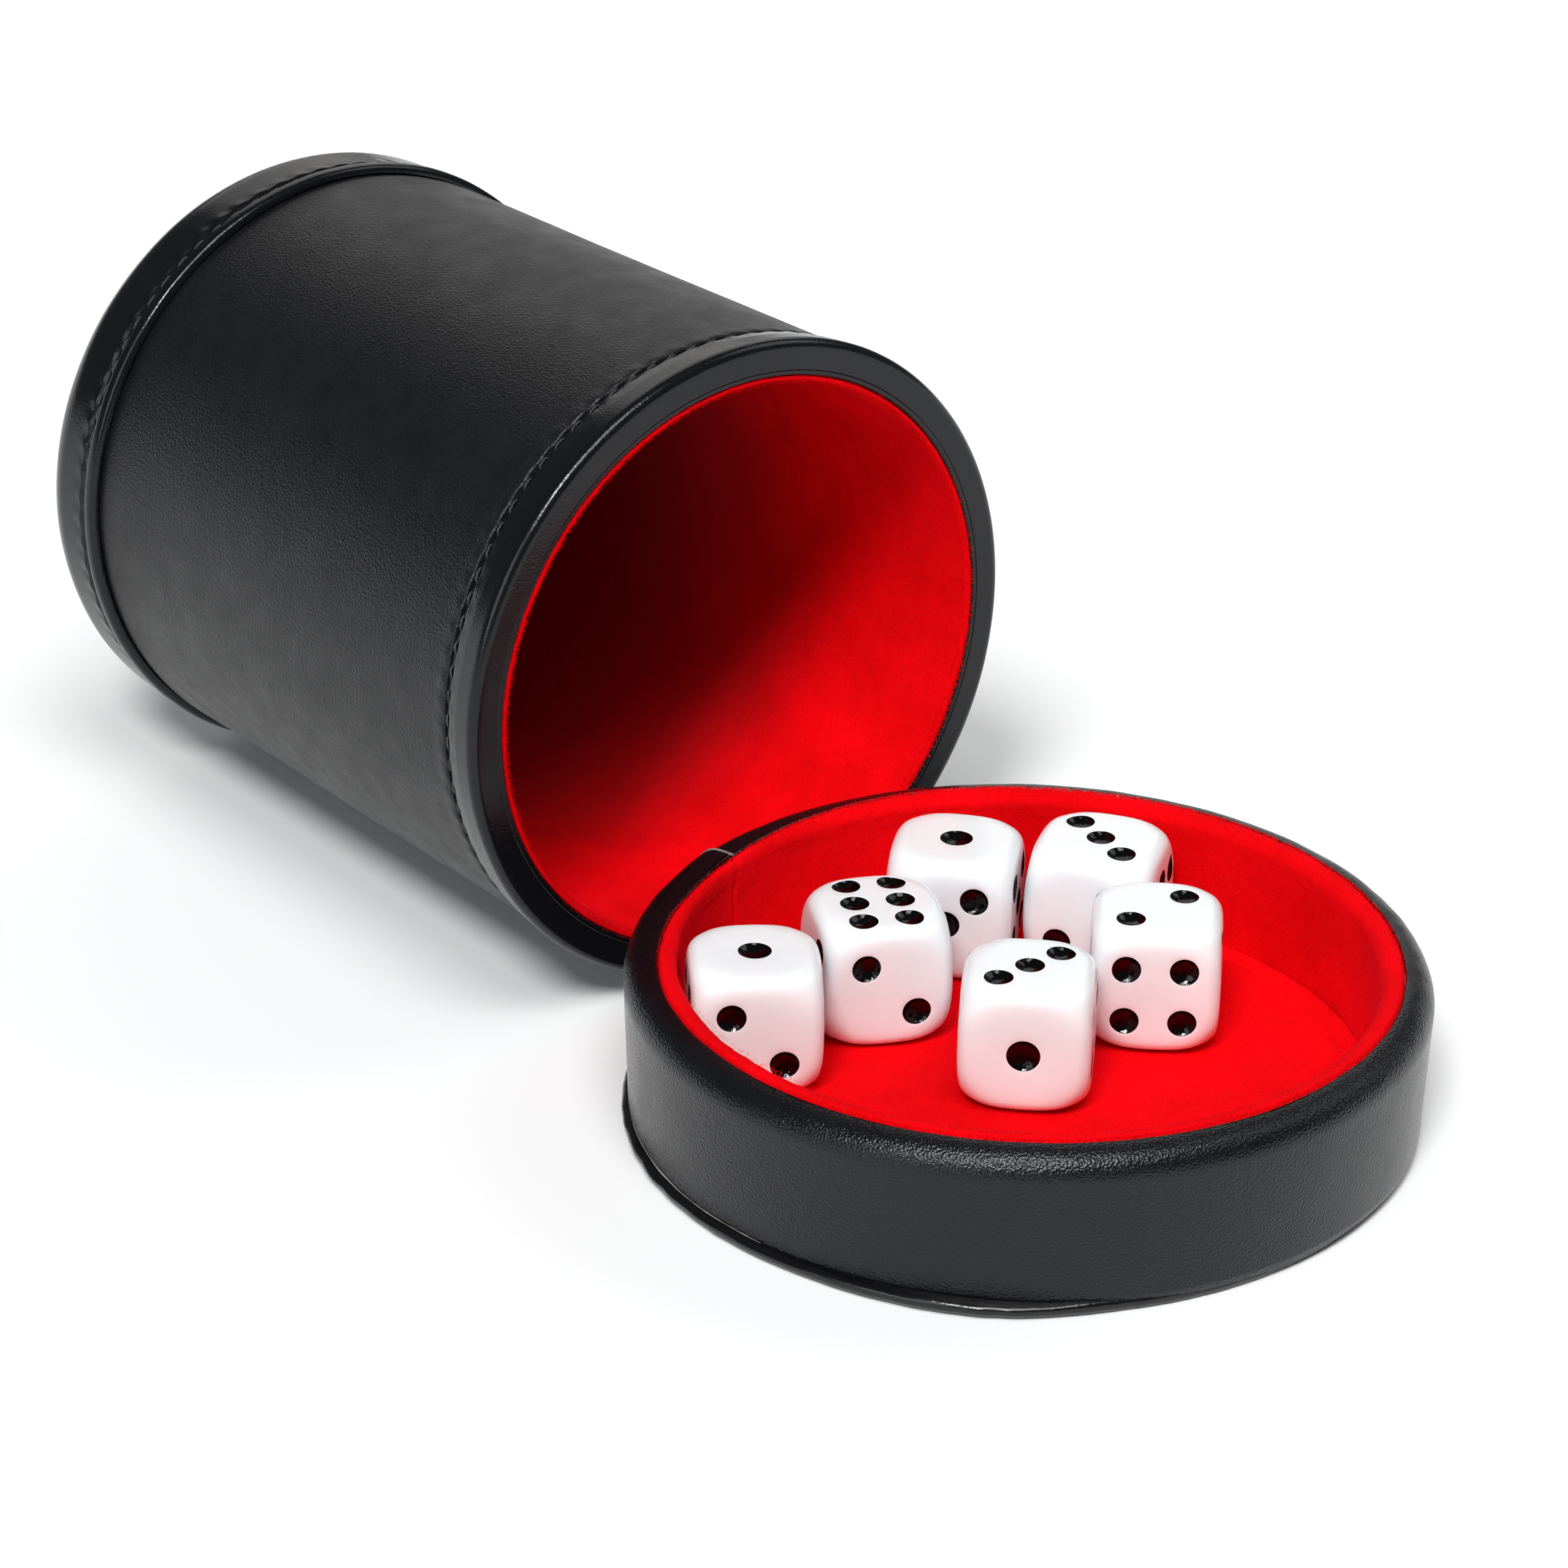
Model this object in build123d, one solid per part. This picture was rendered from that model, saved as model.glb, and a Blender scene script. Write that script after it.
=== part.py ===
from build123d import *
import math
import os

# Dice cup lying on its side, with its lid upside down in front of it and six dice in the lid.
# Millimetres, +Z up. The origin is on the table under the centre of the lid, and the cup lies along +Y.

# Materials of the walls
leather = 0.9
cup_board = 2.3
cup_velvet = 1.2
lid_board = 3.5
lid_velvet = 1.4
seam_gap = 0.3

# Cup, measured as it stands on its base
cup_length = 98.3
body_base_radius = 39.1
body_widening = 1.5
mouth_flare = 1.15
mouth_cover = 0.5
mouth_edge_round = 1.2
band_width = 7.0
band_hem_lift = 0.35
hem_width = 0.9
hem_slope = 0.6
stitch_depth = 0.3

# Collar round the foot of the cup, with a rolled lip
collar_height = 13.0
collar_step = 0.5
collar_round = 5.2
collar_turn_in = 9.5
collar_shelf = 3.8
lip_rise = 1.1
lip_width = 2.2
cup_pad = 2.6

# Lid, measured as it lies upside down
lid_height = 20.95
lid_rim_flare = 0.8
lid_rim_flat = 0.2
lid_rim_bevel = 3.0
lid_slip_clearance = 0.3
lid_seam_angle = 106.0
bead_width = 2.8
bead_height = 2.2
bead_crown = 0.25
bead_chamfer = 0.9
card = 1.2
welt_inset = 0.15
welt_chamfer = 0.8
welt_offset_x = -1.0
welt_offset_y = 0.2
floor_height = 5.35
floor_edge = 1.6
floor_crown = 0.8

# Where the cup lies beside the lid
cup_side_step = -4.0
cup_to_lid = 0.5

# Dice
die_size = 16.0
die_edge_chamfer = 0.9
die_corner_cut = 2.6
pip_radius = 1.8
one_pip_radius = 2.05
pip_slope = 27.0
pip_sides = 12
two_pitch = 3.2
pip_pitch = 3.5
six_row_pitch = 4.65
six_row_half_gap = 2.85
nap = 0.3

# Sizes that follow from the ones above
lip_seat = collar_height - lip_width
collar_radius = body_base_radius + collar_step
lip_radius = body_base_radius + lip_rise
band_start = cup_length - band_width
body_slope = body_widening / (band_start - collar_height)
body_mouth_radius = body_base_radius + body_widening
band_hem_radius = body_mouth_radius + band_hem_lift
mouth_radius = body_mouth_radius + mouth_flare
tube_top = cup_length - leather
lining_radius = mouth_radius + lid_slip_clearance
ring_inner_radius = lining_radius + lid_velvet
lid_foot = leather + card
lid_foot_radius = ring_inner_radius + lid_board + leather
lid_rim_radius = lid_foot_radius + lid_rim_flare
bead_radius = lining_radius + bead_width
lid_rim_round = lid_rim_radius - bead_radius - lid_rim_flat
welt_radius = lid_foot_radius - welt_inset
bead_foot = lid_height + bead_crown - bead_height
die_corner_radius = die_size * math.sqrt(3) / 2 - die_corner_cut


def turned(points, rounds=(), sweep=360):
    """Solid of revolution of a (radius, height) outline, with some of its corners rounded."""
    outline = make_face(Polyline(*points, close=True))
    for corner, radius in rounds:
        outline = fillet(outline.vertices().sort_by_distance(corner)[0], radius)
    return revolve(Plane.XZ * outline, Axis.Z, sweep)


def body_radius(height):
    """Outside of the tapered leather body."""
    return body_base_radius + (height - collar_height) * body_slope


def board_radius(height):
    """Outside of the board tube under the leather."""
    return body_radius(height) - leather


def bore_radius(height):
    """Inside of the board tube."""
    return board_radius(height) - cup_board


def seam_sweep(radius):
    """Angle that a strip bent round this radius covers when its ends butt with a narrow gap."""
    return 360 - math.degrees(seam_gap / radius)


def cup_wall_tube():
    return turned([
        (bore_radius(collar_shelf), collar_shelf),
        (board_radius(collar_shelf), collar_shelf),
        (board_radius(tube_top), tube_top),
        (bore_radius(tube_top), tube_top),
    ])


def cup_body_cover():
    return turned([
        (board_radius(collar_shelf), collar_shelf),
        (body_radius(collar_shelf), collar_shelf),
        (body_radius(band_start), band_start),
        (board_radius(band_start), band_start),
    ], sweep=seam_sweep(body_mouth_radius))


def cup_mouth_band():
    groove_radius = body_radius(band_start) - stitch_depth
    hem_top = band_start + hem_width
    opening_radius = bore_radius(tube_top) - mouth_cover
    return turned([
        (board_radius(band_start), band_start),
        (groove_radius, band_start),
        (groove_radius, hem_top),
        (band_hem_radius, hem_top + hem_slope),
        (mouth_radius, cup_length),
        (opening_radius, cup_length),
        (opening_radius, tube_top),
        (board_radius(tube_top), tube_top),
    ], rounds=[((mouth_radius, cup_length), mouth_edge_round)])


def cup_base_collar():
    groove_radius = collar_radius - stitch_depth
    groove_foot = lip_seat - hem_width
    turn_in_radius = collar_radius - collar_turn_in
    lip_foot = (groove_radius, lip_seat)
    lip_top = (body_radius(collar_height), collar_height)
    outline = Polyline(
        lip_top,
        (body_radius(collar_shelf), collar_shelf),
        (turn_in_radius, collar_shelf),
        (turn_in_radius, 0),
        (collar_radius, 0),
        (collar_radius, groove_foot - hem_slope),
        (groove_radius, groove_foot),
        lip_foot,
    )
    lip = ThreePointArc(lip_foot, (lip_radius, lip_seat + lip_width / 2), lip_top)
    face = make_face(outline + lip)
    face = fillet(face.vertices().sort_by_distance((collar_radius, 0))[0], collar_round)
    return revolve(Plane.XZ * face, Axis.Z)


def cup_base_cover():
    return Pos(0, 0, leather / 2) * Cylinder(collar_radius - collar_turn_in, leather)


def cup_base_board():
    height = collar_shelf - leather
    return Pos(0, 0, leather + height / 2) * Cylinder(collar_radius - collar_turn_in, height)


def cup_lining():
    foot = collar_shelf + cup_pad
    return turned([
        (bore_radius(foot) - cup_velvet, foot),
        (bore_radius(foot), foot),
        (bore_radius(tube_top), tube_top),
        (bore_radius(tube_top) - cup_velvet, tube_top),
    ])


def cup_floor_pad():
    return turned([
        (0, collar_shelf),
        (bore_radius(collar_shelf), collar_shelf),
        (bore_radius(collar_shelf + cup_pad), collar_shelf + cup_pad),
        (0, collar_shelf + cup_pad),
    ])


def rim_inside():
    """Outline that the rim's leather and the board under it share, from the outside over the top."""
    return [
        (lid_foot_radius - leather, lid_foot),
        (lid_rim_radius - leather, lid_height - lid_rim_bevel),
        (lid_rim_radius - lid_rim_bevel, lid_height - leather),
        (bead_radius, lid_height - leather),
        (bead_radius, bead_foot),
    ]


def lid_wall_ring():
    return turned([
        (ring_inner_radius, lid_foot),
        *rim_inside(),
        (ring_inner_radius, bead_foot),
    ])


def lid_side_cover():
    outline = [
        (lid_foot_radius, lid_foot),
        (lid_rim_radius, lid_height),
        (bead_radius, lid_height),
        *reversed(rim_inside()[:-1]),
    ]
    rounds = [((lid_rim_radius, lid_height), lid_rim_round)]
    return Rot(0, 0, lid_seam_angle) * turned(outline, rounds, seam_sweep(lid_rim_radius))


def lid_top_cover():
    board_edge = welt_radius - leather
    return Pos(welt_offset_x, welt_offset_y, 0) * turned([
        (0, 0),
        (welt_radius - welt_chamfer, 0),
        (welt_radius, welt_chamfer),
        (welt_radius, lid_foot),
        (board_edge, lid_foot),
        (board_edge, leather),
        (0, leather),
    ])


def lid_top_board():
    at_welt = Pos(welt_offset_x, welt_offset_y, leather + card / 2)
    return at_welt * Cylinder(welt_radius - leather, card)


def lid_wall_lining():
    return turned([
        (lining_radius, lid_foot),
        (ring_inner_radius, lid_foot),
        (ring_inner_radius, bead_foot),
        (lining_radius, bead_foot),
    ])


def lid_velvet_bead():
    top = lid_height + bead_crown
    return turned([
        (lining_radius, bead_foot),
        (bead_radius, bead_foot),
        (bead_radius, top - bead_chamfer),
        (bead_radius - bead_chamfer, top),
        (lining_radius + bead_chamfer, top),
        (lining_radius, top - bead_chamfer),
    ])


def lid_floor_pad():
    return turned([
        (0, lid_foot),
        (lining_radius, lid_foot),
        (lining_radius, floor_height - floor_crown),
        (lining_radius - floor_edge, floor_height),
        (0, floor_height),
    ])


def pip_tool(radius):
    """Many-sided cone that sinks one pip, with its rim at Z = 0 and its point below."""
    rim = [
        Vector(radius, 0, 0).rotate(Axis.Z, 360 * side / pip_sides)
        for side in range(pip_sides)
    ]
    point = Vector(0, 0, -radius * math.tan(math.radians(pip_slope)))
    sides = [
        Face(Wire.make_polygon([rim[side - 1], rim[side], point]))
        for side in range(pip_sides)
    ]
    return Solid(Shell([Face(Wire.make_polygon(rim)), *sides]))


def pip_places():
    """The turn that brings +Z to each face, 1 to 6, with the places of that face's pips on it."""
    front = Rot(90, 0, 0)
    two = [(-two_pitch, two_pitch), (two_pitch, -two_pitch)]
    three = [(place * pip_pitch, place * pip_pitch) for place in (-1, 0, 1)]
    four = [(x * pip_pitch, y * pip_pitch) for x in (-1, 1) for y in (-1, 1)]
    six = [(x * six_row_half_gap, y * six_row_pitch) for x in (-1, 1) for y in (-1, 0, 1)]
    return [
        (Rot(0, 0, 0), [(0, 0)]),
        (front, two),
        (Rot(0, 0, 90) * front, three),
        (Rot(0, 0, -90) * front, four),
        (Rot(0, 0, 180) * front, four + [(0, 0)]),
        (Rot(180, 0, 0), six),
    ]


def die():
    """Western die: 1 on top, 2 in front (-Y), 3 on the right (+X), opposite faces adding up to 7."""
    large = pip_tool(one_pip_radius)
    small = pip_tool(pip_radius)
    pips = []
    for turn, places in pip_places():
        tool = large if len(places) == 1 else small
        pips += [turn * Pos(x, y, die_size / 2) * tool for x, y in places]
    cube = Box(die_size, die_size, die_size)
    body = chamfer(cube.edges(), die_edge_chamfer) & Sphere(die_corner_radius)
    return body - pips


def lay_down(solid):
    """Lay a piece of the cup on the table, its mouth towards -Y and just clear of the lid."""
    lean = math.asin((mouth_radius - lip_radius) / (cup_length - collar_height + lip_width / 2))
    mouth_y = lid_rim_radius + cup_to_lid + mouth_radius * math.sin(lean)
    at_mouth = Pos(cup_side_step, mouth_y, mouth_radius * math.cos(lean))
    return at_mouth * Rot(90 - math.degrees(lean), 0, 0) * Pos(0, 0, -cup_length) * solid


def dice():
    """The six dice in the lid: each one's place in dice widths, its turn about Z and the faces it shows."""
    three_up = Rot(0, -90, 0)
    throws = [
        (-1.644, 1.225, -35, Rot(0, 0, 0)),
        (-0.406, 1.281, -26, Rot(0, 180, 0)),
        (0.762, 1.725, -49, Rot(0, 0, -90)),
        (1.663, 1.056, -56, three_up),
        (-0.156, -0.188, -45, Rot(0, 0, 90) * three_up),
        (1.225, -0.081, -43, Rot(0, 0, 90) * Rot(-90, 0, 0)),
    ]
    one_die = die()
    height = floor_height + nap + die_size / 2
    return {
        f"die_{number}": Pos(x * die_size, y * die_size, height) * Rot(0, 0, turn) * faces * one_die
        for number, (x, y, turn, faces) in enumerate(throws, start=1)
    }


def build():
    """Every piece by name, where it lies in the photograph."""
    cup = {
        "cup_wall_tube": cup_wall_tube(),
        "cup_body_cover": cup_body_cover(),
        "cup_mouth_band": cup_mouth_band(),
        "cup_base_collar": cup_base_collar(),
        "cup_base_cover": cup_base_cover(),
        "cup_base_board": cup_base_board(),
        "cup_lining": cup_lining(),
        "cup_floor_pad": cup_floor_pad(),
    }
    lid = {
        "lid_wall_ring": lid_wall_ring(),
        "lid_side_cover": lid_side_cover(),
        "lid_top_cover": lid_top_cover(),
        "lid_top_board": lid_top_board(),
        "lid_wall_lining": lid_wall_lining(),
        "lid_velvet_bead": lid_velvet_bead(),
        "lid_floor_pad": lid_floor_pad(),
    }
    lying_cup = {name: lay_down(solid) for name, solid in cup.items()}
    return lying_cup | lid | dice()


os.makedirs("parts", exist_ok=True)
for name, solid in build().items():
    solid.label = name
    export_step(solid, f"parts/{name}.step")
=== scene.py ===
import math
import random

import bmesh
import bpy
from mathutils import Matrix, Vector, noise
from mathutils.geometry import delaunay_2d_cdt


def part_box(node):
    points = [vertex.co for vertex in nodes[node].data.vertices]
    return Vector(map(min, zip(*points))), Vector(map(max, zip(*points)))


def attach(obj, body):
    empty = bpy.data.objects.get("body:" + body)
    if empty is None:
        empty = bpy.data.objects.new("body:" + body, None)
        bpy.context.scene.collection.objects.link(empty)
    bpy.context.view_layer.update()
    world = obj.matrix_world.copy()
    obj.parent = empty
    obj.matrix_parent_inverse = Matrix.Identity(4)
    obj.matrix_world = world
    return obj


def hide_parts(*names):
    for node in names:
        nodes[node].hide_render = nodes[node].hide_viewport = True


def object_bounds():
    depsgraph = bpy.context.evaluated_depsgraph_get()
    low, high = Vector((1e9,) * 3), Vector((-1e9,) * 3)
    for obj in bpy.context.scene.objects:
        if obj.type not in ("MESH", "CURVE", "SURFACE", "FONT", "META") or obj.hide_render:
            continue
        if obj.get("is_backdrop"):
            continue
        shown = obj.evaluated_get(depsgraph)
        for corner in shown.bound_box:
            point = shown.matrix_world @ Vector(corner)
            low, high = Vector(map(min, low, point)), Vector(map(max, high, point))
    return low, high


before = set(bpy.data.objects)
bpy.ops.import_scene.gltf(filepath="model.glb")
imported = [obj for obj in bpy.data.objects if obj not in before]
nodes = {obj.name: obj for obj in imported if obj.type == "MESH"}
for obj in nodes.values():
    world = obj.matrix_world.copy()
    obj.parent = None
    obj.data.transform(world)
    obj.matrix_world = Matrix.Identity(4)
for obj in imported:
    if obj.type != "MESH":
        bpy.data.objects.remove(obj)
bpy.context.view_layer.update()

MM = 0.001

# Sizes of the model, in millimetres, as the solids have them
LEATHER = 0.9
CUP_LENGTH = 98.3
BODY_BASE, BODY_MOUTH, MOUTH = 39.1, 40.6, 41.75
BAND_START = 91.3
COLLAR_TOP, LIP_SEAT, LIP_TOP = 13.0, 10.8, 40.2
COLLAR, COLLAR_SHELF, COLLAR_ROUND, TURN_IN = 39.6, 3.8, 5.2, 30.1
CUP_PAD, CUP_PAD_RADIUS = 2.6, 35.6
CUP_VELVET, SLEEVE_FOOT = 1.2, 6.4
TUBE, TUBE_TOP = 2.3, 97.4
OPENING = 37.0
GROOVE_DEPTH = 0.3
HALF_LIP = 1.1
LID_RIM, LID_FOOT, LID_HEIGHT, LID_BASE = 48.65, 47.85, 20.95, 2.1
BEAD_OUT, LINING, RING_IN = 44.85, 42.05, 43.45
BEAD_FOOT, FLOOR = 19.0, 5.35
WALL_FOOT = LID_BASE - LEATHER
WELT, WELT_X, WELT_Y, WELT_TOP = 47.7, -1.0, 0.2, LID_BASE - 0.05
LID_SEAM, VELVET_SEAM = math.radians(106), math.radians(108)
ROLL_SEAM = LID_SEAM + 0.012
WELT_BULGE, WELT_TUCK, RIM_PULL = math.radians(-138), math.radians(-82), math.radians(113)
SIDE_STEP, MOUTH_Y = -4.0, 49.898970
LEAN = math.asin((MOUTH - LIP_TOP) / (CUP_LENGTH - COLLAR_TOP + HALF_LIP))
FULL = 2 * math.pi
UP = Vector((0, 0, 1))

# Cup stitches are placed, and the leather between them puckered, by these counts
MOUTH_STITCHES, COLLAR_STITCHES = 82, 76

on_cup = (Matrix.Translation(Vector((SIDE_STEP, MOUTH_Y, MOUTH * math.cos(LEAN))) * MM)
          @ Matrix.Rotation(math.pi / 2 - LEAN, 4, "X")
          @ Matrix.Translation((0, 0, -CUP_LENGTH * MM)))
on_lid = Matrix.Identity(4)


def body_radius(z):
    return BODY_BASE + (z - COLLAR_TOP) * (BODY_MOUTH - BODY_BASE) / (BAND_START - COLLAR_TOP)


# Angles and soft steps

def even(count):
    return [FULL * k / count for k in range(count)]


def apart(a, b):
    """Angle from b to a, between minus and plus half a turn."""
    return (a - b + math.pi) % FULL - math.pi


def outward(a):
    return Vector((math.cos(a), math.sin(a), 0))


def sideways(a):
    return Vector((-math.sin(a), math.cos(a), 0))


def near(value, centre, width):
    """1 at the centre, falling to nothing a few widths away."""
    return math.exp(-((value - centre) / width) ** 2)


def around(a, radius, z, size):
    """Smooth noise on a turned surface, about -1 to 1, with lumps of a size in millimetres."""
    return noise.noise(Vector((radius * math.cos(a), radius * math.sin(a), z)) / size)


def seam_dip(a, seam, radius, width, depth):
    return -depth * near(apart(a, seam) * radius, 0, width)


# Meshes

def placed(name, data):
    obj = bpy.data.objects.new(name, data)
    bpy.context.scene.collection.objects.link(obj)
    return obj


def rounded(corners, step=0.5):
    """Closed outline through (radius, height, rounding) corners, as points about a step apart."""
    points = []
    for i, (r, z, rounding) in enumerate(corners):
        here = Vector((r, z))
        if not rounding:
            points.append(here)
            continue
        to_last = (Vector(corners[i - 1][:2]) - here).normalized()
        to_next = (Vector(corners[(i + 1) % len(corners)][:2]) - here).normalized()
        half = to_last.angle(to_next) / 2
        first, last = (here + d * rounding / math.tan(half) for d in (to_last, to_next))
        centre = here + (to_last + to_next).normalized() * rounding / math.sin(half)
        count = max(4, round(rounding * (math.pi - 2 * half) / step))
        a, b = first - centre, last - centre
        turn = math.atan2(a.x * b.y - a.y * b.x, a.dot(b))
        for k in range(count + 1):
            c, s = math.cos(turn * k / count), math.sin(turn * k / count)
            points.append(centre + Vector((a.x * c - a.y * s, a.x * s + a.y * c)))
    full = []
    for i, p in enumerate(points):
        q = points[(i + 1) % len(points)]
        parts = max(1, math.ceil((q - p).length / step))
        full += [p.lerp(q, k / parts) for k in range(parts)]
    return full


def with_seam(count, seam, reach=0.03, extra=16):
    """Even angles with more of them close to a seam."""
    close = [seam + reach * (2 * k / extra - 1) for k in range(extra + 1)]
    far = [a for a in even(count) if abs(apart(a, seam)) > reach * 1.2]
    return sorted(far + close)


def lathe(name, corners, angles, offset=None, place=on_lid, step=0.5, move=None):
    """Turns an outline, given anticlockwise, about the axis.

    offset(angle, radius, height, normal) says how far each point goes out along its normal, and
    move(point, angle) then moves it freely."""
    outline = rounded(corners, step)
    count = len(outline)
    normals = []
    for i in range(count):
        along = outline[(i + 1) % count] - outline[i - 1]
        normals.append(Vector((along.y, -along.x)).normalized())
    bm = bmesh.new()
    rings = []
    for a in angles:
        ring = []
        for p, n in zip(outline, normals):
            d = offset(a, p.x, p.y, n) if offset else 0
            r, z = max(p.x + d * n.x, 0), p.y + d * n.y
            co = Vector((r * math.cos(a), r * math.sin(a), z))
            if move:
                co = move(co, a)
            ring.append(bm.verts.new(co * MM))
        rings.append(ring)
    for i, ring in enumerate(rings):
        after = rings[(i + 1) % len(rings)]
        for j in range(count):
            k = (j + 1) % count
            if outline[j].x > 1e-6 or outline[k].x > 1e-6:
                bm.faces.new((ring[j], after[j], after[k], ring[k]))
    bmesh.ops.remove_doubles(bm, verts=bm.verts, dist=1e-8)
    bmesh.ops.recalc_face_normals(bm, faces=bm.faces)
    return finish_mesh(bm, name, place)


def finish_mesh(bm, name, place, sharp=50):
    bm.transform(place)
    mesh = bpy.data.meshes.new(name)
    bm.to_mesh(mesh)
    bm.free()
    mesh.shade_smooth()
    mesh.set_sharp_from_angle(angle=math.radians(sharp))
    return placed(name, mesh)


def ring_round(bm, centre, across, along, width, sides=8):
    """Ring of points about a centre, for a thread."""
    return [bm.verts.new((centre + (across * math.cos(t) + along * math.sin(t)) * width) * MM)
            for t in even(sides)]


def join_rings(bm, rings):
    """Closed skin over rings of as many points each."""
    sides = len(rings[0])
    for ring, after in zip(rings, rings[1:]):
        for s in range(sides):
            bm.faces.new((ring[s], ring[(s + 1) % sides], after[(s + 1) % sides], after[s]))
    bm.faces.new(rings[0])
    bm.faces.new(reversed(rings[-1]))


# Materials

def material(name, colour, roughness, **inputs):
    m = bpy.data.materials.new(name)
    m.use_nodes = True
    sockets = m.node_tree.nodes["Principled BSDF"].inputs
    sockets["Base Color"].default_value = (*colour, 1)
    sockets["Roughness"].default_value = roughness
    for key, value in inputs.items():
        sockets[key.replace("_", " ")].default_value = value
    return m


def node(m, kind, **values):
    n = m.node_tree.nodes.new(kind)
    for key, value in values.items():
        if key in n.inputs:
            n.inputs[key].default_value = value
        else:
            setattr(n, key, value)
    return n


def link(m, a, b):
    m.node_tree.links.new(a, b)


def sockets_and_place(m):
    """Inputs of a material's shader, and the place on the object in metres."""
    return m.node_tree.nodes["Principled BSDF"].inputs, node(m, "ShaderNodeTexCoord").outputs["Object"]


def ramp(m, source, stops):
    n = node(m, "ShaderNodeValToRGB")
    elements = n.color_ramp.elements
    while len(elements) < len(stops):
        elements.new(0.5)
    for e, (place, colour) in zip(elements, stops):
        e.position = place
        e.color = (*colour, 1) if isinstance(colour, tuple) else (colour, colour, colour, 1)
    link(m, source, n.inputs["Fac"])
    return n.outputs["Color"]


def texture(m, where, scale, detail=3.0, rough=0.6):
    n = node(m, "ShaderNodeTexNoise", Scale=scale, Detail=detail, Roughness=rough)
    link(m, where, n.inputs["Vector"])
    return n.outputs["Fac"]


def bump(m, height, distance, strength=1.0, under=None):
    n = node(m, "ShaderNodeBump", Distance=distance, Strength=strength)
    link(m, height, n.inputs["Height"])
    if under is not None:
        link(m, under, n.inputs["Normal"])
    return n.outputs["Normal"]


def leather(name, dark, light, roughness, spread, grain, grain_depth, wrinkle, **inputs):
    """Grained leather: pebbles over fine pores, with slow changes of colour and gloss."""
    m = material(name, dark, roughness, **inputs)
    sockets, where = sockets_and_place(m)
    cells = node(m, "ShaderNodeTexVoronoi", Scale=grain, Randomness=1.0)
    link(m, where, cells.inputs["Vector"])
    slow = texture(m, where, 60, 4)
    fine = texture(m, where, grain * 1.7, 4)
    link(m, ramp(m, slow, [(0.3, dark), (0.75, light)]), sockets["Base Color"])
    low, high = roughness - spread, roughness + spread
    link(m, ramp(m, texture(m, where, 220, 5), [(0.3, low), (0.7, high)]), sockets["Roughness"])
    first = bump(m, texture(m, where, 140, 3), wrinkle)
    second = bump(m, cells.outputs["Distance"], grain_depth, 0.8, first)
    link(m, bump(m, fine, grain_depth * 0.6, 0.7, second), sockets["Normal"])
    return m


def velvet(name, deep, bright, painted_depth_shade=None):
    """Short pile, brushed lighter and darker.

    The last argument, for a deep inside, paints shade into the colour: (y where the painted shade starts, y
    where it is darkest, the shaded colour there)."""
    m = material(name, bright, 0.95, Specular_IOR_Level=0.05, Sheen_Weight=0.16, Sheen_Roughness=0.4,
                 Sheen_Tint=(1.0, 0.02, 0.06, 1))
    sockets, where = sockets_and_place(m)
    nap = texture(m, where, 90, 3, 0.55)
    pile = texture(m, where, 2600, 3, 0.8)
    brushed = node(m, "ShaderNodeMix", data_type="RGBA", blend_type="MULTIPLY")
    brushed.inputs["Factor"].default_value = 1.0
    link(m, ramp(m, nap, [(0.35, deep), (0.6, bright)]), brushed.inputs["A"])
    link(m, ramp(m, pile, [(0.2, 0.8), (0.55, 1.0)]), brushed.inputs["B"])
    colour = brushed.outputs["Result"]
    # Painted shade: the colour darkens along y towards the deep inside
    if painted_depth_shade:
        start, end, depth_shade_colour = painted_depth_shade
        along = node(m, "ShaderNodeSeparateXYZ")
        link(m, where, along.inputs[0])
        reach = node(m, "ShaderNodeMapRange", interpolation_type="SMOOTHSTEP")
        reach.inputs["From Min"].default_value = start
        reach.inputs["From Max"].default_value = end
        link(m, along.outputs["Y"], reach.inputs["Value"])
        shaded = node(m, "ShaderNodeMix", data_type="RGBA")
        shaded.inputs["B"].default_value = (*depth_shade_colour, 1)
        link(m, reach.outputs["Result"], shaded.inputs["Factor"])
        link(m, colour, shaded.inputs["A"])
        colour = shaded.outputs["Result"]
    link(m, colour, sockets["Base Color"])
    first = bump(m, nap, 0.00025, 0.6)
    link(m, bump(m, pile, 0.00012, 0.9, first), sockets["Normal"])
    return m


grained = leather("grained_leather", (0.0030, 0.0031, 0.0040), (0.0052, 0.0053, 0.0066), 0.41, 0.06,
                  2800, 0.000080, 0.00003, Specular_IOR_Level=0.39, Specular_Tint=(0.97, 0.98, 1.0, 1))
smooth = leather("smooth_leather", (0.0034, 0.0035, 0.0045), (0.0060, 0.0061, 0.0076), 0.22, 0.04,
                 3100, 0.000085, 0.00002, Specular_IOR_Level=0.38, Specular_Tint=(0.95, 0.97, 1.0, 1))
turned_over = leather("turned_leather", (0.0032, 0.0033, 0.0040), (0.0056, 0.0057, 0.0068), 0.20, 0.03,
                      3200, 0.000016, 0.00001, Specular_IOR_Level=0.36, Specular_Tint=(0.95, 0.97, 1.0, 1))
glossy = leather("glossy_leather", (0.0025, 0.0025, 0.0028), (0.0045, 0.0045, 0.005), 0.20, 0.07,
                 1900, 0.00002, 0.00012, Specular_IOR_Level=0.5)
red = velvet("red_velvet", (0.76, 0.0008, 0.003), (0.90, 0.001, 0.005))
# The cup's velvet, with painted shade darkening it deep inside the cup
cup_red = velvet("cup_velvet", (0.76, 0.0008, 0.003), (0.92, 0.001, 0.005),
                 (0.070, 0.121, (0.36, 0.03, 0.045)))


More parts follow.
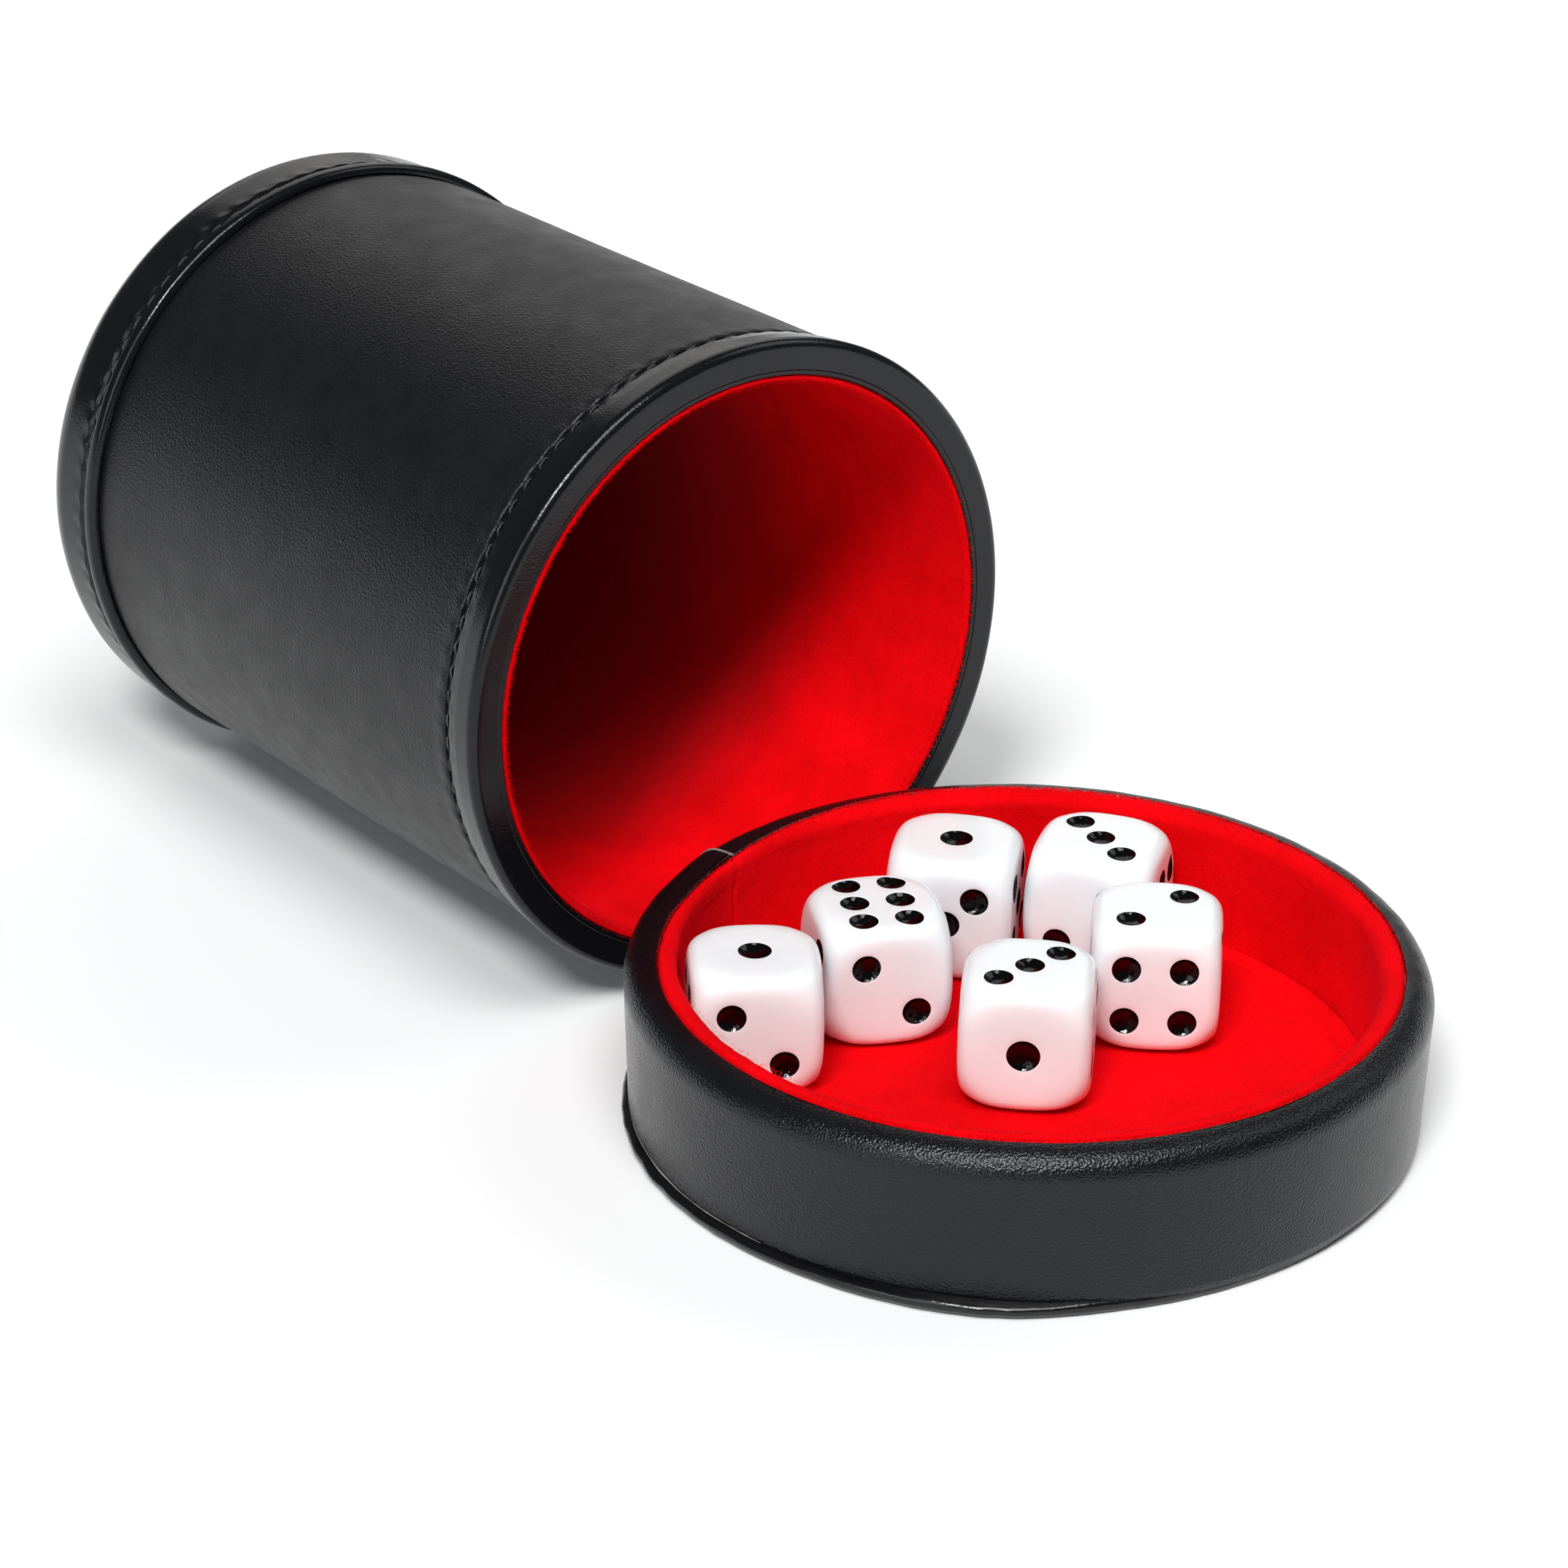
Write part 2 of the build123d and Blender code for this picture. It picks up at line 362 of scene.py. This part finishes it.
def thread_material():
    m = material("black_thread", (0.012, 0.012, 0.013), 0.5, Specular_IOR_Level=0.5)
    sockets, where = sockets_and_place(m)
    twist = node(m, "ShaderNodeTexWave", Scale=900.0, Distortion=3.0)
    link(m, where, twist.inputs["Vector"])
    link(m, ramp(m, twist.outputs["Fac"], [(0.2, 0.006), (0.9, 0.05)]), sockets["Base Color"])
    link(m, bump(m, twist.outputs["Fac"], 0.00008), sockets["Normal"])
    return m


def board_material():
    m = material("grey_board", (0.40, 0.36, 0.30), 0.85, Specular_IOR_Level=0.2)
    sockets, where = sockets_and_place(m)
    fibre = texture(m, where, 900, 5, 0.7)
    grey = ramp(m, fibre, [(0.3, (0.33, 0.29, 0.24)), (0.7, (0.47, 0.43, 0.36))])
    link(m, grey, sockets["Base Color"])
    link(m, bump(m, fibre, 0.00008), sockets["Normal"])
    return m


def acrylic_material():
    m = material("white_acrylic", (0.88, 0.93, 0.985), 0.16, Specular_IOR_Level=0.5, IOR=1.49,
                 Subsurface_Weight=0.8, Subsurface_Scale=0.003, Subsurface_Radius=(1.0, 0.9, 0.9))
    sockets, where = sockets_and_place(m)
    cloud = texture(m, where, 190, 4)
    white = ramp(m, cloud, [(0.3, (0.865, 0.915, 0.975)), (0.7, (0.89, 0.94, 0.99))])
    link(m, white, sockets["Base Color"])
    link(m, ramp(m, texture(m, where, 700, 3), [(0.3, 0.14), (0.7, 0.24)]), sockets["Roughness"])
    link(m, bump(m, texture(m, where, 320, 2), 0.00003), sockets["Normal"])
    return m


def pip_material():
    m = material("black_pips", (0.001, 0.001, 0.001), 0.05, Specular_IOR_Level=0.36)
    sockets, where = sockets_and_place(m)
    specks = texture(m, where, 2600, 4, 0.8)
    link(m, ramp(m, specks, [(0.68, 0.001), (0.85, 0.02)]), sockets["Base Color"])
    link(m, bump(m, texture(m, where, 900, 3), 0.00012), sockets["Normal"])
    return m


raw_edge = leather("raw_leather_edge", (0.05, 0.048, 0.045), (0.30, 0.28, 0.26), 0.6, 0.1,
                   5000, 0.00005, 0.00004, Specular_IOR_Level=0.3)
thread, board, acrylic, pips = thread_material(), board_material(), acrylic_material(), pip_material()


def dress(obj, m, body, slot, *replaced):
    """Gives a piece its material, puts it under the body that it moves with, and hides the solids that it
    stands for.
    """
    obj.data.materials.append(m)
    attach(obj, body)
    if replaced:
        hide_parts(*replaced)
    return obj


# Cup

MOUTH_PITCH = FULL / MOUTH_STITCHES
COLLAR_PITCH = FULL / COLLAR_STITCHES


def body_offset(a, r, z, n):
    soft = 0.10 * around(a, r, z, 22) + 0.015 * around(a, r, z + 300, 6)
    pucker = 0.10 * math.cos(FULL * a / MOUTH_PITCH) * near(z, BAND_START, 1.3)
    roll = 0.12 * near(z, BAND_START - 0.9, 0.9)
    tuck = -0.25 * near(z, COLLAR_TOP, 1.0)
    return (soft + pucker + roll + tuck) * max(n.x, 0)


cup_body = lathe("cup_leather_body", [
    (body_radius(COLLAR_SHELF) - LEATHER, COLLAR_SHELF, 0),
    (body_radius(COLLAR_SHELF), COLLAR_SHELF, 0),
    (BODY_MOUTH, BAND_START, 0.35),
    (BODY_MOUTH - LEATHER, BAND_START, 0),
], even(656), body_offset, on_cup, 0.6)
dress(cup_body, grained, "cup", "grained_leather", "cup_body_cover")


def band_offset(a, r, z, n):
    hem = 0.05 * math.cos(FULL * a / MOUTH_PITCH + 0.6) * near(z, BAND_START + 1.3, 0.7) * max(n.x, 0)
    return hem + 0.035 * around(a, r, z, 9)


band = lathe("cup_leather_band", [
    (BODY_MOUTH - LEATHER, BAND_START, 0),
    (BODY_MOUTH - GROOVE_DEPTH, BAND_START, 0),
    (BODY_MOUTH - GROOVE_DEPTH, BAND_START + 0.8, 0.2),
    (40.95, BAND_START + 1.4, 0.35),
    (41.3, 94.5, 4.0),
    (MOUTH, CUP_LENGTH, 1.15),
    (OPENING + 0.85, CUP_LENGTH, 0.3),
    (OPENING + 0.77, CUP_LENGTH - 0.07, 0),
    (OPENING + 0.68, CUP_LENGTH - 0.02, 0.1),
    (OPENING, CUP_LENGTH - 0.05, 0.35),
    (OPENING, TUBE_TOP, 0),
    (BODY_MOUTH - LEATHER, TUBE_TOP, 0),
], even(492), band_offset, on_cup, 0.35)
dress(band, turned_over, "cup", "smooth_leather", "cup_mouth_band")


def collar_offset(a, r, z, n):
    hem = 0.09 * math.cos(FULL * a / COLLAR_PITCH) * near(z, LIP_SEAT - 1.6, 0.8) * max(n.x, 0)
    lip = 0.06 * around(a, r, 0, 5) * near(z, LIP_SEAT + 1.1, 1.2)
    return hem + lip + 0.05 * around(a, r, z, 11)


collar = lathe("cup_leather_collar", [
    (TURN_IN, 0, 0),
    (COLLAR, 0, COLLAR_ROUND),
    (COLLAR, LIP_SEAT - 1.5, 0.4),
    (COLLAR - GROOVE_DEPTH, LIP_SEAT - 0.9, 0.2),
    (COLLAR - GROOVE_DEPTH, LIP_SEAT, 0.15),
    (LIP_TOP, LIP_SEAT + 0.2, 0.75),
    (LIP_TOP - 0.08, COLLAR_TOP - 0.2, 0.85),
    (body_radius(COLLAR_TOP) + 0.02, COLLAR_TOP, 0),
    (body_radius(COLLAR_SHELF), COLLAR_SHELF, 0),
    (TURN_IN, COLLAR_SHELF, 0),
], even(456), collar_offset, on_cup, 0.35)
dress(collar, turned_over, "cup", "smooth_leather", "cup_base_collar")


def foot_offset(a, r, z, n):
    return 0.05 * around(a, r, z, 12) * (1 - r / (TURN_IN + 0.01))


foot = lathe("cup_leather_foot", [
    (0, 0, 0),
    (TURN_IN, 0, 0.4),
    (TURN_IN, LEATHER, 0),
    (0, LEATHER, 0),
], even(160), foot_offset, on_cup, 1.2)
dress(foot, grained, "cup", "grained_leather", "cup_base_cover")


def sleeve_radius(z):
    return body_radius(z) - LEATHER - TUBE - CUP_VELVET


def sleeve_offset(a, r, z, n):
    inward = max(-n.x, 0)
    return inward * (0.10 * around(a, r, z, 14) + 0.05 * around(a, r, z, 4)) + 0.08 * around(a, r, z, 1.6)


sleeve = lathe("cup_velvet_sleeve", [
    (sleeve_radius(SLEEVE_FOOT), SLEEVE_FOOT, 0),
    (sleeve_radius(SLEEVE_FOOT) + CUP_VELVET, SLEEVE_FOOT, 0),
    (sleeve_radius(TUBE_TOP) + CUP_VELVET, TUBE_TOP, 0),
    (OPENING - 0.05, TUBE_TOP + 0.02, 0),
    (OPENING - 0.08, TUBE_TOP + 0.85, 0.3),
    (sleeve_radius(TUBE_TOP), TUBE_TOP + 0.7, 0.75),
], even(420), sleeve_offset, on_cup, 0.6)
dress(sleeve, cup_red, "cup", "red_velvet", "cup_lining")


def cup_floor_offset(a, r, z, n):
    up = max(n.y, 0)
    return up * (0.12 * around(a, r, z, 13) - 0.5 * near(r, sleeve_radius(SLEEVE_FOOT), 1.4))


cup_floor = lathe("cup_velvet_floor", [
    (0, COLLAR_SHELF, 0),
    (CUP_PAD_RADIUS, COLLAR_SHELF, 0),
    (CUP_PAD_RADIUS, COLLAR_SHELF + CUP_PAD, 0.8),
    (0, COLLAR_SHELF + CUP_PAD, 0),
], even(240), cup_floor_offset, on_cup, 0.9)
dress(cup_floor, cup_red, "cup", "red_velvet", "cup_floor_pad")


# Stitches

def stitches(name, count, radius, z, length, thick, place, seed, lean=0.12):
    """One sewn thread after another, each rising out of its hole and going down into the next."""
    bm = bmesh.new()
    rng = random.Random(seed)
    steps = 10
    for i in range(count):
        a = FULL * (i + 0.5) / count + rng.uniform(-0.002, 0.002)
        tilt = lean + rng.uniform(-0.05, 0.05)
        long = length * rng.uniform(0.94, 1.05)
        out, side = outward(a), sideways(a)
        rings = []
        for k in range(steps + 1):
            t = 2 * k / steps - 1
            sag = -0.55 * abs(t) ** 4 - long * long * t * t / (8 * radius)
            centre = out * (radius + sag) + side * (t * long / 2) + UP * (z + tilt * t)
            width = thick * (1 - 0.25 * abs(t) ** 3)
            rings.append(ring_round(bm, centre, out, UP, width))
        join_rings(bm, rings)
    bmesh.ops.recalc_face_normals(bm, faces=bm.faces)
    return finish_mesh(bm, name, place)


mouth_stitches = stitches("cup_mouth_stitches", MOUTH_STITCHES, BODY_MOUTH - 0.12, BAND_START + 0.42,
                          2.15, 0.18, on_cup, 3)
dress(mouth_stitches, thread, "cup", "smooth_leather")
collar_stitches = stitches("cup_collar_stitches", COLLAR_STITCHES, COLLAR - 0.12, LIP_SEAT - 0.5,
                           2.35, 0.19, on_cup, 5)
dress(collar_stitches, thread, "cup", "smooth_leather")


# Lid

def wall_offset(a, r, z, n):
    soft = 0.12 * around(a, r, z, 24) + 0.04 * around(a, r, z, 7)
    top = near(z, LID_HEIGHT, 4)
    past = apart(a, LID_SEAM) * r
    lap = 0.28 * near(past, 0, 5) * top if past > 0 else 0
    return soft * 0.8 + 0.05 * around(a, r, z, 3) * top + seam_dip(a, LID_SEAM, r, 0.22, 0.45) + lap


def rim_pull(a):
    """How far the rim's leather reaches in over the velvet roll, which gives way to it near the seam."""
    return 1.5 * near(apart(a, RIM_PULL), 0, math.radians(27)) + 0.12 * noise.noise(outward(a) * 7)


def wall_move(co, a):
    """Draws the rim's inner edge in over the velvet roll."""
    out = math.hypot(co.x, co.y)
    inner = max(0, 1 - abs(out - BEAD_OUT) / 0.9) if co.z > LID_HEIGHT - 1.2 else 0
    scale = (out - inner * rim_pull(a)) / out
    return Vector((co.x * scale, co.y * scale, co.z))


lid_wall = lathe("lid_leather_wall", [
    (LID_FOOT - LEATHER, WALL_FOOT, 0),
    (LID_FOOT - 0.25, WALL_FOOT, 0.3),
    (LID_FOOT, LID_BASE, 1.0),
    (LID_RIM, LID_HEIGHT, 3.5),
    (BEAD_OUT, LID_HEIGHT, 0.3),
    (BEAD_OUT, LID_HEIGHT - LEATHER, 0),
    (LID_RIM - 3.0, LID_HEIGHT - LEATHER, 0),
    (LID_RIM - LEATHER, LID_HEIGHT - 3.0, 0),
], with_seam(420, LID_SEAM), wall_offset, on_lid, 0.4, wall_move)
dress(lid_wall, smooth, "lid", "smooth_leather", "lid_side_cover")


def welt_reach(a):
    """How far the turned edge of the lid's top leather stands out, all round."""
    bulge = 1.3 * near(apart(a, WELT_BULGE), 0, math.radians(17))
    tucked = 0.4 * near(apart(a, WELT_TUCK), 0, math.radians(34))
    way = outward(a)
    return bulge - tucked + 0.2 * noise.noise(way * 3) + 0.13 * noise.noise(way * 16 + Vector((0, 0, 4)))


def welt_move(co, a):
    """Pushes the turned edge out flat along the table, and lets its top sag unevenly."""
    out = math.hypot(co.x, co.y)
    edge = max(0, 1 - (WELT - out) / 1.6)
    push = welt_reach(a) * edge
    thin = 0.55 - 0.45 * near(apart(a, WELT_BULGE), 0, math.radians(32))
    sag = edge * max(0, co.z - 0.7) * (thin + 0.2 * noise.noise(Vector((math.cos(a), math.sin(a), 9)) * 9))
    scale = (out + push) / out if out else 1
    return Vector((co.x * scale, co.y * scale, max(co.z - sag, 0)))


lid_top = lathe("lid_leather_top", [
    (0, 0, 0),
    (WELT, 0, 0.95),
    (WELT, WELT_TOP, 0.7),
    (WELT - LEATHER, WELT_TOP, 0),
    (WELT - LEATHER, LEATHER, 0),
    (0, LEATHER, 0),
], even(480), place=Matrix.Translation(Vector((WELT_X, WELT_Y, 0)) * MM), step=0.3, move=welt_move)
dress(lid_top, glossy, "lid", "glossy_leather", "lid_top_cover")


def lid_velvet_offset(a, r, z, n):
    return (0.09 * around(a, r, z, 11) + 0.07 * around(a, r, z, 1.7)
            + seam_dip(a, VELVET_SEAM, r, 0.35, 0.35) * max(-n.x, 0))


lid_lining = lathe("lid_velvet_wall", [
    (LINING, LID_BASE, 0),
    (RING_IN, LID_BASE, 0),
    (RING_IN, BEAD_FOOT, 0),
    (LINING, BEAD_FOOT, 0),
], with_seam(360, VELVET_SEAM), lid_velvet_offset, on_lid, 0.6)
dress(lid_lining, red, "lid", "red_velvet", "lid_wall_lining")


def bead_offset(a, r, z, n):
    return 0.12 * around(a, r, z, 8) + 0.09 * around(a, r, z, 1.3) + seam_dip(a, ROLL_SEAM, r, 0.3, 0.3)


def bead_move(co, a):
    """Gives way to the rim's leather, inward and down."""
    out = math.hypot(co.x, co.y)
    part = max(0, (out - LINING) / (BEAD_OUT - LINING))
    scale = (out - part * rim_pull(a)) / out
    return Vector((co.x * scale, co.y * scale, co.z - 0.3 * rim_pull(a) * max(0, co.z - BEAD_FOOT) / 2.2))


bead = lathe("lid_velvet_roll", [
    (LINING, BEAD_FOOT - 0.6, 0),
    (BEAD_OUT - 0.02, BEAD_FOOT, 0),
    (BEAD_OUT - 0.02, LID_HEIGHT + 0.25, 0.9),
    (LINING, LID_HEIGHT + 0.25, 1.6),
], with_seam(480, ROLL_SEAM), bead_offset, on_lid, 0.3, bead_move)
dress(bead, red, "lid", "red_velvet", "lid_velvet_bead")


HALF_FIBRE = 0.035


def fuzz(name, count, root, place, seed, length):
    """Stray fibres of the velvet: root(angle, rng) gives each one's foot and the way that it stands."""
    bm = bmesh.new()
    rng = random.Random(seed)
    for _ in range(count):
        a = rng.uniform(0, FULL)
        foot, way = root(a, rng)
        lean = Vector((rng.gauss(0, 0.5), rng.gauss(0, 0.5), rng.gauss(0, 0.35)))
        tip = foot + (way + lean).normalized() * length * rng.uniform(0.4, 1.0)
        side = sideways(a) * HALF_FIBRE
        bm.faces.new([bm.verts.new(v * MM) for v in (foot - side, foot + side, tip)])
    return finish_mesh(bm, name, place)


def lid_fibre(a, rng):
    """A fibre's foot on the roll, most often by its outer edge, where t is 1."""
    out = outward(a)
    t = rng.choice((rng.uniform(0.82, 1.0), rng.uniform(0.0, 1.0)))
    r = LINING + t * (BEAD_OUT - LINING - rim_pull(a))
    crown = 0.25 * math.sin(math.pi * min(max(t, 0.08), 0.92)) ** 0.5 - 0.3 * rim_pull(a)
    return out * r + Vector((0, 0, LID_HEIGHT + crown - 0.06)), UP + out * (t - 0.5) * 1.6


lid_fuzz = fuzz("lid_velvet_fibres", 12000, lid_fibre, on_lid, 11, 0.4)
dress(lid_fuzz, red, "lid", "red_velvet")


def cup_fibre(a, rng):
    """A fibre's foot on the sleeve's rolled edge at the mouth."""
    out = outward(a)
    t = rng.uniform(-0.12, 1.0)
    foot = out * (OPENING - t) + Vector((0, 0, TUBE_TOP + 0.75 - 0.7 * max(t, 0) ** 2))
    return foot, UP - out * t


cup_fuzz = fuzz("cup_velvet_fibres", 9000, cup_fibre, on_cup, 12, 0.6)
dress(cup_fuzz, red, "cup", "red_velvet")


def lid_seam_edge():
    """Raw edge of the leather where its ends lap on the rim, a pale line across it and down the wall."""
    bm = bmesh.new()
    out, side = outward(LID_SEAM), sideways(LID_SEAM)
    turn_starts, turn_ends, bend = 0.22, 0.72, 3.55
    steps = 32
    rings = []
    for k in range(steps + 1):
        t = k / steps
        turn = math.pi / 2 * min(1, max(0, (t - turn_starts) / 0.5))
        r = LID_RIM - bend + bend * math.sin(turn) - (turn_starts - min(t, turn_starts)) * 8
        z = LID_HEIGHT - bend * (1 - math.cos(turn)) - max(0, t - turn_ends) * 14
        normal = out * math.sin(turn) + Vector((0, 0, math.cos(turn)))
        wander = 0.1 + 0.16 * noise.noise(Vector((t * 5, 3, 0)))
        centre = out * r + Vector((0, 0, z)) + normal * 0.1 + side * wander
        width = (0.2 + 0.07 * noise.noise(Vector((t * 14, 0, 1)))) * (1 - 0.75 * max(0, t - 0.5) / 0.5)
        rings.append(ring_round(bm, centre, normal, side, width))
    join_rings(bm, rings)
    bmesh.ops.recalc_face_normals(bm, faces=bm.faces)
    return finish_mesh(bm, "lid_seam_edge", on_lid)


dress(lid_seam_edge(), raw_edge, "lid", "smooth_leather")


def floor_offset(a, r, z, n):
    """Soft lumps on the floor's top, with a crease round its edge."""
    up = max(n.y, 0)
    dish = 0.26 * around(a, r, z, 17) + 0.06 * around(a, r, z, 4)
    crease = -0.55 * near(r, 39.6, 0.5) + 0.2 * near(r, 38.2, 0.8)
    return up * (min(dish, 0.2) + crease)


lid_floor = lathe("lid_velvet_floor", [
    (0, LID_BASE, 0),
    (LINING, LID_BASE, 0),
    (LINING, FLOOR, 0.6),
    (0, FLOOR - 0.05, 0),
], even(300), floor_offset, on_lid, 0.6)
dress(lid_floor, red, "lid", "red_velvet", "lid_floor_pad")


# The boards keep the solids' shapes

for name in ("cup_wall_tube", "cup_base_board", "lid_wall_ring", "lid_top_board"):
    nodes[name].data.materials.clear()
    nodes[name].data.materials.append(board)


# Dice: a rounded cube cut by a sphere, in millimetres

HALF_DIE, CORNER = 8.0, 11.3
EDGE_ROUND, CORNER_BLEND = 1.55, 2.0
PIP, ONE_PIP, PIP_DEPTH = 1.8, 2.05, 0.78
TWO_OUT, THREE_OUT, FOUR_OUT, SIX_ACROSS, SIX_ALONG = 3.2, 3.5, 3.5, 2.85, 4.65


def die_surface(way):
    """Point of the rounded die in a direction, found by halving."""
    low, high = 7.0, 14.0
    for _ in range(22):
        reach = (low + high) / 2
        past = [max(abs(c) * reach - (HALF_DIE - EDGE_ROUND), 0) for c in way]
        cube = math.sqrt(sum(c * c for c in past)) - EDGE_ROUND
        ball = reach - CORNER
        melt = max(1 - abs(cube - ball) / CORNER_BLEND, 0)
        inside = max(cube, ball) + CORNER_BLEND * melt ** 3 / 6
        low, high = (reach, high) if inside < 0 else (low, reach)
    return way * low


def pip_places():
    """The turn that brings +Z to each face, with the places of its pips on it."""
    front = Matrix.Rotation(math.pi / 2, 3, "X")
    one = [(0, 0)]
    two = [(-TWO_OUT, TWO_OUT), (TWO_OUT, -TWO_OUT)]
    three = [(k * THREE_OUT, k * THREE_OUT) for k in (-1, 0, 1)]
    four = [(x * FOUR_OUT, y * FOUR_OUT) for x in (-1, 1) for y in (-1, 1)]
    six = [(x * SIX_ACROSS, y * SIX_ALONG) for x in (-1, 1) for y in (-1, 0, 1)]

    def spin(degrees):
        return Matrix.Rotation(math.radians(degrees), 3, "Z")
    return [(Matrix.Identity(3), one), (front, two), (spin(90) @ front, three), (spin(-90) @ front, four),
            (spin(180) @ front, four + one), (Matrix.Rotation(math.pi, 3, "X"), six)]


# Net lines over half a face, closer together where the edge rounds over, and the rings about a pip
GRID = ([k * 0.05 for k in range(15)]
        + [0.735, 0.77, 0.8, 0.825, 0.85, 0.872, 0.894, 0.916, 0.937, 0.958, 0.979, 1])
PIP_RINGS = [(1.06, 32), (1.0, 32), (0.93, 32), (0.8, 26), (0.6, 20), (0.4, 14), (0.2, 8)]


def face_net(places, rim):
    """Flat net over one face, in half dice, with rings of points in and round each pip."""
    marks = sorted({side * g for g in GRID for side in (-1, 1)})
    reach = rim / HALF_DIE
    centres = [Vector(p) / HALF_DIE for p in places]
    points = [Vector((u, v)) for u in marks for v in marks
              if all((Vector((u, v)) - c).length > reach * 1.13 for c in centres)]
    edges = []
    for c in centres:
        for ring, count in PIP_RINGS:
            first = len(points)
            points += [c + reach * ring * Vector((math.cos(t), math.sin(t))) for t in even(count)]
            if ring == 1.0:
                edges += [(first + k, first + (k + 1) % count) for k in range(count)]
        points.append(c)
    net = delaunay_2d_cdt(points, edges, [], 0, 1e-6)
    return net[0], net[2], centres


def die_mesh():
    """Rounded cube with a clean round dent for every pip; the dents' faces have material 1."""
    bm = bmesh.new()
    for turn, places in pip_places():
        rim = ONE_PIP if len(places) == 1 else PIP
        flat, faces, centres = face_net(places, rim)
        corners = []
        for uv in flat:
            p = die_surface(Vector((uv.x, uv.y, 1)).normalized())
            q = min((Vector((p.x, p.y)) / HALF_DIE - c).length for c in centres) * HALF_DIE / rim
            p.z -= PIP_DEPTH * (1 - q ** 2.4) if q < 1 else 0
            corners.append(bm.verts.new(turn @ p))
        for face in faces:
            made = bm.faces.new([corners[k] for k in face])
            middle = sum((flat[k] for k in face), Vector((0, 0))) / len(face)
            made.material_index = int(any((middle - c).length * HALF_DIE < rim * 0.998 for c in centres))
    bmesh.ops.remove_doubles(bm, verts=bm.verts, dist=0.002)
    return bm


def spun(axis, degrees):
    return Matrix.Rotation(math.radians(degrees), 4, axis)


# How each die lies: its turn on the table, and the turn that brings the faces that it shows into view
THREE_UP = spun("Y", -90)
THROWS = [(-35, Matrix.Identity(4)), (-26, spun("Y", 180)), (-49, spun("Z", -90)), (-56, THREE_UP),
          (-45, spun("Z", 90) @ THREE_UP), (-43, spun("Z", 90) @ spun("X", -90))]
die_pattern = die_mesh()
for number, (turn, faces) in enumerate(THROWS, start=1):
    low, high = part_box(f"die_{number}")
    middle = Matrix.Translation((Vector(low) + Vector(high)) / 2)
    place = middle @ spun("Z", turn) @ faces @ Matrix.Scale(MM, 4)
    die = finish_mesh(die_pattern.copy(), f"die_{number}_rounded", place, 32)
    die.data.materials.append(acrylic)
    dress(die, pips, f"die_{number}_body", "white_acrylic", f"die_{number}")
die_pattern.free()


# Table, light and camera

HALF_TABLE = 6
table_mesh = bpy.data.meshes.new("table")
table_corners = [(x * HALF_TABLE, y * HALF_TABLE, 0) for x, y in ((-1, -1), (1, -1), (1, 1), (-1, 1))]
table_mesh.from_pydata(table_corners, [], [(0, 1, 2, 3)])
table = placed("table", table_mesh)
table.data.materials.append(material("pale_table", (0.98, 0.98, 0.98), 0.9, Specular_IOR_Level=0.1))
table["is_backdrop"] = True

# The room is dark above the table, so the leather shows the white table at its sides and black on top
world = bpy.data.worlds.new("studio")
world.use_nodes = True
bpy.context.scene.world = world
room = world.node_tree.nodes["Background"]
room.inputs["Color"].default_value = (0.88, 0.94, 1.0, 1)
room.inputs["Strength"].default_value = 0.10


def lamp(name, place, size, level, colour=(1, 1, 1)):
    """Round distant softbox: the way to it, its width in degrees, and how bright it makes a white table."""
    way = (-Vector(place)).normalized()
    light = bpy.data.lights.new(name, "SUN")
    light.angle = math.radians(size)
    light.energy = math.pi * level / -way.z
    light.color = colour
    obj = placed(name, light)
    obj.location = place
    obj.rotation_mode = "QUATERNION"
    obj.rotation_quaternion = way.to_track_quat("-Z", "Y")


lamp("key", (-0.62, -0.46, 0.90), 14, 0.48)
lamp("top", (-0.20, -0.46, 1.0), 26, 0.345)
lamp("side", (0.75, -0.25, 0.70), 30, 0.07)
lamp("left", (-0.90, -0.20, 0.36), 34, 0.07, (0.93, 0.97, 1.0))
lamp("back", (0.52, 0.72, 0.50), 46, 0.065, (1.0, 0.965, 0.93))

# The camera of the photograph, as it was fitted
CAMERA_X, CAMERA_Y, CAMERA_Z = -0.41157, -0.45244, 0.34650
look = Vector((0.6371, 0.7708, 0)).normalized()
pitch, roll = math.radians(26.396), math.radians(1.1225)
ahead = look * math.cos(pitch) - Vector((0, 0, math.sin(pitch)))
level_right = Vector((look.y, -look.x, 0))
level_up = level_right.cross(ahead)
right = level_right * math.cos(roll) + level_up * math.sin(roll)
up = level_up * math.cos(roll) - level_right * math.sin(roll)
camera_data = bpy.data.cameras.new("camera")
camera_data.lens = 132.97
camera_data.sensor_width = 36.0
camera_data.shift_x = -0.00368
camera_data.shift_y = -0.0009
camera_data.clip_start, camera_data.clip_end = 0.05, 30
camera = placed("camera", camera_data)
camera.matrix_world = Matrix((
    (right.x, up.x, -ahead.x, CAMERA_X),
    (right.y, up.y, -ahead.y, CAMERA_Y),
    (right.z, up.z, -ahead.z, CAMERA_Z),
    (0, 0, 0, 1)))
bpy.context.scene.camera = camera
bpy.context.scene.view_settings.view_transform = "Standard"

low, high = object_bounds()
